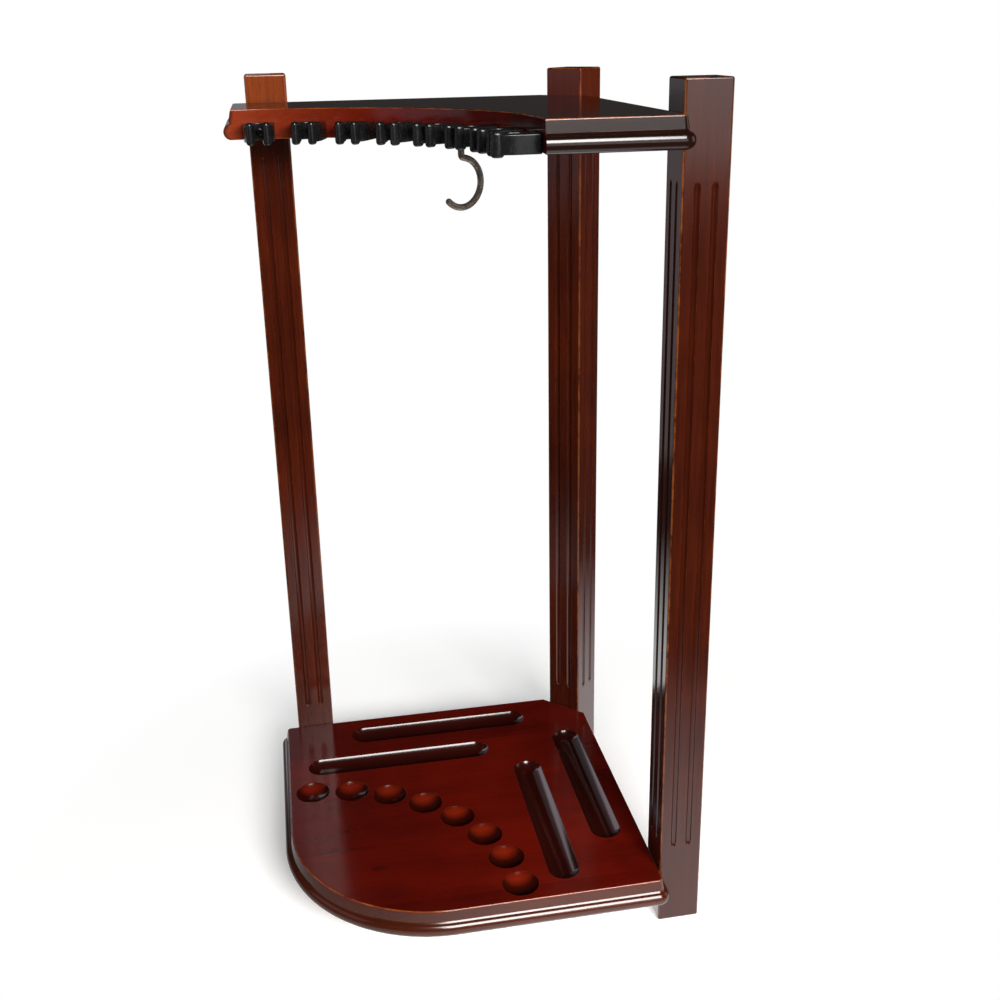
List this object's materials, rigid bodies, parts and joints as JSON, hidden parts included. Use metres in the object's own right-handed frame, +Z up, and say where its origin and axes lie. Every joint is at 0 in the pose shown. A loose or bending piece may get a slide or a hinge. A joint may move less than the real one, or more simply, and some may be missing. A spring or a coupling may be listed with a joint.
{
  "type": "corner cue rack",
  "caption": "Corner cue rack: three fluted posts, a moulded base with butt dimples and ball troughs, a hollow-fronted top shelf with rubber cue clips and a hook.",
  "frame": {"origin": "centre of the footprint, on the floor", "axes": "+Z up; +X and +Y point at the two walls that the rack stands against, so the room's corner is at +X +Y"},
  "size_m": [0.392, 0.392, 0.782],
  "materials": {
    "stained_wood": "red mahogany stain under semi-gloss lacquer, rubbed orange at the edges",
    "black_rubber": "satin black, slightly shiny on the lips",
    "antique_metal": "dark antique nickel plate, rough",
    "zinc_steel": "bright zinc plate",
    "pale_wood": "bare beech"
  },
  "bodies": {
    "rack": {"left_post": "stained_wood", "right_post": "stained_wood", "corner_post": "stained_wood", "bottom_shelf": "stained_wood", "top_shelf": "stained_wood", "bolt_left_bottom": "zinc_steel", "insert_left_bottom": "zinc_steel", "dowel_a_left_bottom": "pale_wood", "dowel_b_left_bottom": "pale_wood", "bolt_left_top": "zinc_steel", "insert_left_top": "zinc_steel", "dowel_a_left_top": "pale_wood", "dowel_b_left_top": "pale_wood", "bolt_right_bottom": "zinc_steel", "insert_right_bottom": "zinc_steel", "dowel_a_right_bottom": "pale_wood", "dowel_b_right_bottom": "pale_wood", "bolt_right_top": "zinc_steel", "insert_right_top": "zinc_steel", "dowel_a_right_top": "pale_wood", "dowel_b_right_top": "pale_wood", "bolt_corner_bottom": "zinc_steel", "insert_corner_bottom": "zinc_steel", "dowel_a_corner_bottom": "pale_wood", "dowel_b_corner_bottom": "pale_wood", "bolt_corner_top": "zinc_steel", "insert_corner_top": "zinc_steel", "dowel_a_corner_top": "pale_wood", "dowel_b_corner_top": "pale_wood", "cue_clip_1": "black_rubber", "cue_clip_2": "black_rubber", "cue_clip_3": "black_rubber", "cue_clip_4": "black_rubber", "cue_clip_5": "black_rubber", "cue_clip_6": "black_rubber", "cue_clip_7": "black_rubber", "cue_clip_8": "black_rubber", "clip_screw_1": "zinc_steel", "clip_screw_2": "zinc_steel", "clip_screw_3": "zinc_steel", "clip_screw_4": "zinc_steel", "clip_screw_5": "zinc_steel", "clip_screw_6": "zinc_steel", "clip_screw_7": "zinc_steel", "clip_screw_8": "zinc_steel"},
    "hook_body": {"hook": "antique_metal"}
  },
  "joints": [
    {"name": "hook_turn", "type": "hinge", "parent": "rack", "child": "hook_body", "pos_m": [0.012, 0.012, 0.73], "axis": [0, 0, 1], "range_deg": [-90, 90]}
  ]
}
